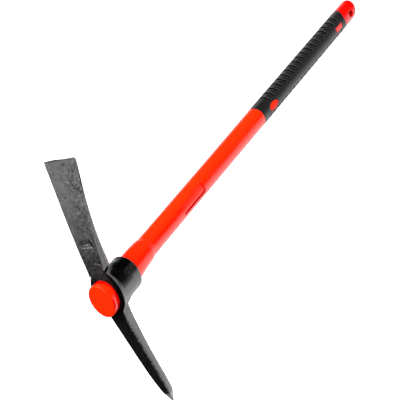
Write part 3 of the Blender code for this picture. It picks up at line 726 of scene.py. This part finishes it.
# ------------------------------------------------------------------ the red shaft
SLEEVE = [(15.8, 24.7, 18.3, -1.98), (72.2, 21.5, 19.0, -1.1), (87.0, 20.7, 18.9, -0.95),
          (95.0, 20.3, 18.8, -0.68), (102.0, 19.95, 18.7, -0.36), (112.0, 19.3, 18.5, -0.25),
          (119.0, 18.85, 18.4, -0.15), (121.0, 18.72, 18.32, -0.13), (123.0, 18.52, 18.2, -0.1),
          (125.0, 18.22, 18.0, -0.06), (127.0, 17.86, 17.7, -0.03), (129.0, 17.5, 17.4, 0.0),
          (131.0, 17.22, 17.16, 0.0), (133.0, 17.04, 17.0, 0.0), (136.0, 16.92, 16.88, 0.0),
          (142.0, 16.82, 16.78, 0.0),
          (156.0, 16.6, 16.55, 0.0), (320.0, 16.5, 16.5, 0.0), (509.0, 16.7, 16.7, 0.0),
          (509.8, 16.55, 16.55, 0.0)]
PANEL_X, PANEL_MIDS, PANEL_HALF, PANEL_DEPTH = (228.3, 294.2), (85.0, 265.0), 28.0, 0.85


def build_shaft():
    rows = np.array(SLEEVE)
    xs = set(np.round(np.concatenate([rows[:, 0], np.arange(20, 124, 4.0), np.arange(118, 137, 0.5),
                                      np.arange(136, 228, 6.0), np.arange(300, 508, 6.0),
                                      np.arange(232, 294, 3.0)]), 3))
    for e in PANEL_X:
        xs |= {e - 0.35, e - 0.12, e + 0.12, e + 0.35, e + 1.2, e - 0.8, e - 1.5, e - 2.3}
    xs = np.array(sorted(xs))
    angles = set(np.round(np.degrees(np.linspace(0, 2 * math.pi, 144, endpoint=False)), 4))
    for mid in PANEL_MIDS:
        for s in (-1, 1):
            e = mid + s * PANEL_HALF
            angles |= {round(e + q, 3) for q in (-12.5, -10.0, -5.0, -2.4, -1.0, -0.35, 0.0, 0.35, 1.0)}
    a = np.radians(np.array(sorted(angles)))
    rings = []
    soft = np.linspace(-1, 1, 9)
    for x in xs:
        ry, rz, cy = (np.interp(x + 1.5 * soft, rows[:, 0], rows[:, c]).mean() for c in (1, 2, 3))
        ring = oval_ring(x, ry, rz, cy, a)
        n = 2.0 + 0.3 * (1 - step(x, 76.0, 118.0)) * step(x, 74.0, 76.0) * step(-np.cos(a), 0.0, 0.45)
        full = (np.abs(np.cos(a)) ** n + np.abs(np.sin(a)) ** n) ** (-1 / n)
        ring[:, 1] = cy + (ring[:, 1] - cy) * full
        ring[:, 2] *= full
        along = step(x, PANEL_X[0] - 0.12, PANEL_X[0] + 0.12) * (1 - step(x, PANEL_X[1] - 0.12, PANEL_X[1] + 0.12))
        if along > 0:
            deg = np.degrees(a)
            off = np.minimum(np.abs(deg - PANEL_MIDS[0]), np.abs(deg - PANEL_MIDS[1]))
            dip = PANEL_DEPTH * along * (1 - step(off, PANEL_HALF - 0.35, PANEL_HALF + 0.35))
            radius = np.hypot(ring[:, 1], ring[:, 2])
            ring[:, 1] *= (radius - dip) / radius
            ring[:, 2] *= (radius - dip) / radius
        rings.append(ring)
    pts, faces = rings_mesh(rings)
    faces = list(faces)
    pts = [pts]
    count = len(pts[0])
    for outline in (WINDOW_OVAL, WINDOW_BAR):
        for side in (1, -1):
            p, f = boss(outline, side)
            faces += [tuple(i + count for i in q) for q in f]
            pts.append(p)
            count += len(p)
    obj = make_object("red_handle", np.concatenate(pts), faces, RED, smooth_angle=38.0)
    x, y, z = local_points(obj).T
    deg = np.degrees(np.arctan2(z, y)) % 360
    over = (deg - PANEL_MIDS[0] + 180) % 360 - 180
    under = (deg - PANEL_MIDS[1] + 180) % 360 - 180
    round_by = np.where(np.abs(over) < np.abs(under), over, under)
    off = np.abs(round_by)
    within = (x > PANEL_X[0] - 0.05) & (x < PANEL_X[1] + 0.05) & (off < PANEL_HALF)
    paint(obj, "spark", within.astype(float))
    along = (x > PANEL_X[0] - 0.4) & (x < PANEL_X[1] + 0.4)
    # Painted shadow along the panel's side wall and upper end: dark red with little gloss.
    wall_shadow = along * step(round_by, PANEL_HALF - 12.4, PANEL_HALF - 10.0) * (round_by < PANEL_HALF + 0.4)
    end = step(x, PANEL_X[1] - 2.4, PANEL_X[1] - 1.4) * (x < PANEL_X[1] + 0.2) * (off < PANEL_HALF + 0.4)
    wall_shadow = np.maximum(wall_shadow, end)
    about = deg - 90.0
    # A painted shade band running along the shaft beside the highlight, away from the panel.
    melt_flow_and_shade_band = 0.35 * step(about, -38.0, -22.0) * (1 - step(about, -12.0, 0.0)) * (1 - step(x, 226.0, 300.0))
    paint(obj, "deep", np.maximum(wall_shadow, melt_flow_and_shade_band))
    paint(obj, "shade", np.maximum(0.04 * wall_shadow, 0.16 * end * (round_by < PANEL_HALF - 12.0)))
    paint(obj, "matt", (np.abs(x - OVAL_X) < 16.0) * (np.hypot(y, z) > 16.58))
    return obj


OVAL_X, OVAL_HALF = 547.6, (14.5, 6.0)
TRAP_X, TRAP_HALF = (806.3, 831.2), 4.05


def ellipse_outline(cx, half_x, half_y, seg=64):
    a = np.linspace(0, 2 * math.pi, seg, endpoint=False)
    return np.stack([cx + half_x * np.cos(a), half_y * np.sin(a)], 1)


def bar_outline(per_side=14):
    x0, x1 = TRAP_X
    corners = np.array([(x1, TRAP_HALF), (x0, TRAP_HALF), (x0 + 1.4, -TRAP_HALF), (x1 - 1.4, -TRAP_HALF)])
    pts = []
    for i in range(4):
        a, b = corners[i], corners[(i + 1) % 4]
        for k in range(per_side):
            pts.append(a + (b - a) * k / per_side)
    return np.array(pts)


WINDOW_OVAL = ellipse_outline(OVAL_X, *OVAL_HALF)
WINDOW_BAR = bar_outline()


def boss(outline, side, top=16.72):
    """Red island that fills a window of the grip."""
    mid = outline.mean(0)
    rings = []
    for radius, inset in ((13.2, 0.0), (16.3, 0.0), (16.52, 0.03), (16.66, 0.14), (top, 0.34)):
        scale = 1 - inset / np.abs(outline - mid).max(0).min()
        o = mid + (outline - mid) * scale
        rings.append(np.stack([o[:, 0], o[:, 1], side * np.sqrt(radius**2 - o[:, 1]**2)], 1))
    for q in (0.8, 0.6, 0.4, 0.2, 0.05):
        o = mid + (outline - mid) * q * (1 - 0.34 / np.abs(outline - mid).max(0).min())
        rings.append(np.stack([o[:, 0], o[:, 1], side * np.sqrt(top**2 - o[:, 1]**2)], 1))
    pts, faces = rings_mesh(rings)
    return pts, faces


shaft = build_shaft()
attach(shaft, "root")
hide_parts("shaft_jacket")

# ------------------------------------------------------------------ the rubber grip
GRIP_R, GRIP_START, GAP = 16.8, 510.0, 0.3
SLOT_FIRST, SLOT_PITCH, SLOT_COUNT, SLOT_WIDTH, SLOT_DEPTH, SLOT_HALF = 546.5, 15.5, 19, 5.4, 1.6, 59.0
SLOT_TURN = 4.0
CAP_ARC_X, CAP_ARC_R = 862.3, 16.7


def slot_angle(y, z):
    return np.abs((np.degrees(np.arctan2(z, y)) + SLOT_TURN + 90.0) % 180.0 - 90.0)


def slot_index(x, y):
    return np.clip(np.round((x - SLOT_FIRST) / SLOT_PITCH), np.where(y < 0, -1, 0), SLOT_COUNT - 1)


def ellipse_distance(x, y, cx, hx, hy):
    p, q = (x - cx) / hx, y / hy
    s = np.sqrt(p * p + q * q) + 1e-6
    return (s - 1) * s / (np.sqrt((p / hx) ** 2 + (q / hy) ** 2) + 1e-6)


def bar_distance(x, y):
    mid = (TRAP_X[0] + TRAP_X[1]) / 2
    half = (TRAP_X[1] - TRAP_X[0]) / 2 - 0.7 + 0.7 * y / TRAP_HALF
    return np.maximum(np.abs(x - mid) - half, np.abs(y) - TRAP_HALF)


def grip_field(x, y, z):
    r = np.hypot(y, z)
    d = r - GRIP_R
    d = round_max(d, GRIP_START - x, 0.6)
    # finger slots round the adze side and the pick side
    k = slot_index(x, y)
    ax = np.abs(x - SLOT_FIRST - SLOT_PITCH * k) - SLOT_WIDTH / 2
    angle = slot_angle(y, z)
    aa = np.radians(angle - SLOT_HALF) * r
    depth = SLOT_DEPTH - 0.9 * step(angle, 8.0, 28.0) * (y < 0)
    slot = np.maximum(np.maximum(ax, aa), GRIP_R - depth - r)
    d = round_max(d, -slot, 0.35)
    # windows for the red islands, above and below
    window = np.minimum(ellipse_distance(x, y, OVAL_X, OVAL_HALF[0] + GAP, OVAL_HALF[1] + GAP),
                        bar_distance(x, y) - GAP)
    window = np.maximum(window, 13.4 - r)
    window = np.where(np.abs(z) > 6.0, window, 5.0)
    d = round_max(d, -window, 0.25)
    # the arc that parts it from the cap
    arc = CAP_ARC_R + GAP - np.hypot(np.minimum(x - CAP_ARC_X, 0), y)
    arc = np.maximum(arc, x - CAP_ARC_X)
    return np.maximum(d, arc)


def cylinder_grid(x, angle, r):
    return x, r * np.cos(angle), r * np.sin(angle)


def build_grip():
    xs = [np.array((509.0, 509.6, 510.1, 510.5, 511.0, 512.0)), np.arange(514.0, 526.0, 2.0)]
    for k in range(-1, SLOT_COUNT):
        c = SLOT_FIRST + SLOT_PITCH * k
        xs.append(c + np.array((-5.0, -3.6, -3.1, -2.85, -2.6, -2.35, -2.0, -1.0, 0.0, 1.0, 2.0, 2.35, 2.6, 2.85,
                                3.1, 3.6, 5.0, 7.0, 8.8)))
    xs.append(np.arange(OVAL_X - 15.8, OVAL_X + 15.9, 0.7))
    xs.append(np.arange(805.0, 832.5, 0.6))
    xs.append(np.arange(836.0, 864.0, 0.55))
    xs = np.unique(np.round(np.concatenate(xs), 2))
    keep = [xs[0]]
    for v in xs[1:]:
        if v - keep[-1] > 0.2:
            keep.append(v)
    count = 136
    angles = 2 * math.pi / count * np.arange(count + 2)
    rs = np.array((12.9, 13.3, 13.7, 14.4, 15.2, 15.45, 15.7, 16.1, 16.5, 16.7, 16.95, 17.3))
    pts, faces = skin(grip_field, (np.array(keep), angles, rs), cylinder_grid)
    obj = make_object("rubber_grip", pts, faces, RUBBER, smooth_angle=None, weld=0.01)
    p = local_points(obj)
    x, y, z = p.T
    r = np.hypot(y, z)
    k = slot_index(x, y)
    rim = np.abs(np.abs(x - SLOT_FIRST - SLOT_PITCH * k) - SLOT_WIDTH / 2)
    inside = slot_angle(y, z) < SLOT_HALF + 2
    about = np.degrees(np.arctan2(-y, z))
    # Painted light: the ribs on the adze side are painted lighter, together with the rubbed slot rims.
    wear_and_painted_light = 0.6 * (1 - step(np.abs(about + 106.0), 18.0, 42.0))
    paint(obj, "edge", np.maximum((1 - step(rim, 0.3, 1.0)) * inside, wear_and_painted_light) * step(r, 16.2, 16.7))
    along = np.abs(x - SLOT_FIRST - SLOT_PITCH * k) < SLOT_WIDTH / 2 + 0.3
    # Painted shade on the floors of the finger slots.
    paint(obj, "slot", step(GRIP_R - r, 0.15, 0.55) * inside * along)
    return obj


grip = build_grip()
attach(grip, "root")
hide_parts("grip_sleeve")

# ------------------------------------------------------------------ the hanging cap
CAP_R, HOLE_X, HOLE_HALF, HOLE_ROUND = 16.6, 873.0, (6.2, 5.0), 2.2
END_MID, END_SLOPE, END_ROUND = 896.9, 0.44, 6.5


def cap_field(x, y, z):
    r = np.hypot(y, z)
    d = round_max(r - CAP_R, x - END_SLOPE * y - END_MID, END_ROUND)
    qx = np.abs(x - HOLE_X) - (HOLE_HALF[0] - HOLE_ROUND)
    qy = np.abs(y) - (HOLE_HALF[1] - HOLE_ROUND)
    hole = np.hypot(np.maximum(qx, 0), np.maximum(qy, 0)) + np.minimum(np.maximum(qx, qy), 0) - HOLE_ROUND
    d = round_max(d, -hole, 0.7)
    arc = np.hypot(np.minimum(x - CAP_ARC_X, 0), y) - CAP_ARC_R
    return np.maximum(d, arc)


def build_cap():
    xs = np.arange(844.8, 903.2, 0.5)
    ys = np.arange(-17.5, 17.6, 0.5)
    pts, faces = skin(cap_field, (xs, ys, ys))
    return make_object("hanging_cap", pts, faces, CAP_RED, smooth_angle=None)


cap = build_cap()
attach(cap, "root")
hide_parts("hang_cap")

# ------------------------------------------------------------------ hidden CAD pieces
for node, mat, slot_name in (("core_rod", FIBRE, "glass_fibre_core"), ("eye_bond", EPOXY, "grey_epoxy")):
    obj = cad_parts[node]
    for s in obj.material_slots:
        s.material = mat

# ------------------------------------------------------------------ stage and light
# Soft lights of the studio as patches of sky: direction, cosine of the soft
# edge's start and end, radiance. The first is the white sweep behind the tool.
SKY = [
    ((0.8916, -0.427, -0.1506), 0.580, 0.642, 0.70),
    ((0.721, -0.60, 0.33), 0.78, 0.95, 0.50),
    ((0.70, -0.56, 0.45), 0.86, 0.97, 0.12),
    ((0.70, -0.69, 0.18), 0.88, 0.96, 0.30),
    ((-0.50, 0.76, 0.20), 0.75, 0.95, 0.9),
]
AMBIENT = 0.006
# Big soft lamps, kept out of the gloss: direction towards the lamp, irradiance, angle.
LAMPS = [
    ("lamp_side", (-0.49, 0.86, -0.10), 8.8, 50.0),
    ("lamp_front", (-0.60, 0.60, 0.50), 1.5, 55.0),
    ("lamp_top", (-0.05, -0.25, 0.96), 1.2, 60.0),
    ("lamp_far", (-0.10, -0.72, 0.68), 1.15, 50.0),
]

world = bpy.data.worlds.new("studio")
world.use_nodes = True
bpy.context.scene.world = world
wt = world.node_tree
background = wt.nodes["Background"]
direction = wt.nodes.new("ShaderNodeTexCoord").outputs["Generated"]
total = None
for d, c0, c1, power in SKY:
    d = np.array(d) / np.linalg.norm(d)
    dot = wt.nodes.new("ShaderNodeVectorMath")
    dot.operation = "DOT_PRODUCT"
    wt.links.new(direction, dot.inputs[0])
    dot.inputs[1].default_value = tuple(float(v) for v in d)
    ramp = wt.nodes.new("ShaderNodeMapRange")
    ramp.interpolation_type = "SMOOTHSTEP"
    wt.links.new(dot.outputs["Value"], ramp.inputs["Value"])
    ramp.inputs["From Min"].default_value = c0
    ramp.inputs["From Max"].default_value = c1
    ramp.inputs["To Min"].default_value = 0.0
    ramp.inputs["To Max"].default_value = power
    if total is None:
        total = ramp.outputs["Result"]
    else:
        add = wt.nodes.new("ShaderNodeMath")
        add.operation = "ADD"
        wt.links.new(total, add.inputs[0])
        wt.links.new(ramp.outputs["Result"], add.inputs[1])
        total = add.outputs[0]
add = wt.nodes.new("ShaderNodeMath")
add.operation = "ADD"
wt.links.new(total, add.inputs[0])
add.inputs[1].default_value = AMBIENT
wt.links.new(add.outputs[0], background.inputs["Strength"])
background.inputs["Color"].default_value = (1.0, 1.0, 1.0, 1.0)

for name, towards, power, angle in LAMPS:
    lamp = bpy.data.lights.new(name, "SUN")
    lamp.energy = power
    lamp.angle = math.radians(angle)
    lamp_obj = bpy.data.objects.new(name, lamp)
    lamp_obj.rotation_mode = "QUATERNION"
    lamp_obj.rotation_quaternion = Vector(towards).to_track_quat("Z", "Y")
    lamp_obj.visible_glossy = False
    bpy.context.scene.collection.objects.link(lamp_obj)

floor_mesh = bpy.data.meshes.new("floor")
floor_mesh.from_pydata([(-60, -60, 0), (60, -60, 0), (60, 60, 0), (-60, 60, 0)], [], [(0, 1, 2, 3)])
floor = bpy.data.objects.new("floor", floor_mesh)
bpy.context.scene.collection.objects.link(floor)
fm = bpy.data.materials.new("pale_floor")
fm.use_nodes = True
fs = fm.node_tree.nodes["Principled BSDF"]
fs.inputs["Base Color"].default_value = (0.9, 0.9, 0.9, 1.0)
fs.inputs["Roughness"].default_value = 0.9
fs.inputs["Emission Color"].default_value = (1.0, 1.0, 1.0, 1.0)
fs.inputs["Emission Strength"].default_value = 1.1
floor_mesh.materials.append(fm)
floor.visible_glossy = False
floor.visible_diffuse = False
floor.visible_shadow = False

scene = bpy.context.scene
scene.view_settings.view_transform = "Standard"
scene.view_settings.look = "None"
